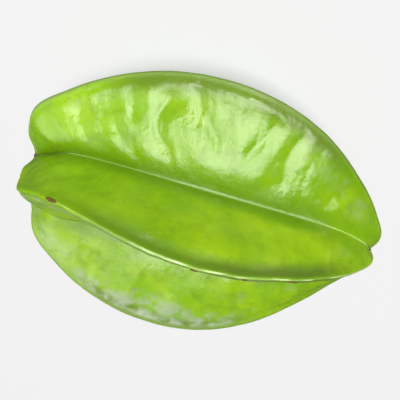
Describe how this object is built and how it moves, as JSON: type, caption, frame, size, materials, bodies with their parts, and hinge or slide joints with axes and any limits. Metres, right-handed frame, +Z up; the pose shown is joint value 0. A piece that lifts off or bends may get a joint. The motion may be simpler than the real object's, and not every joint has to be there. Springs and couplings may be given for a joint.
{
  "type": "star fruit",
  "caption": "Whole green star fruit, a blunt-edged ribbed fruit that tapers towards its blossom end, lying at rest on two of its ribs.",
  "frame": {"origin": "centre of the underside of the bounding box, on the surface that the fruit lies on", "axes": "+X along the fruit from the stem end to the blossom end, +Z up along the rib that stands upright"},
  "size_m": [0.103, 0.0744, 0.0718],
  "materials": {
    "skin": "waxy yellow-green fruit skin with a soft gloss"
  },
  "bodies": {
    "root": {"star_fruit": "skin"}
  },
  "joints": []
}
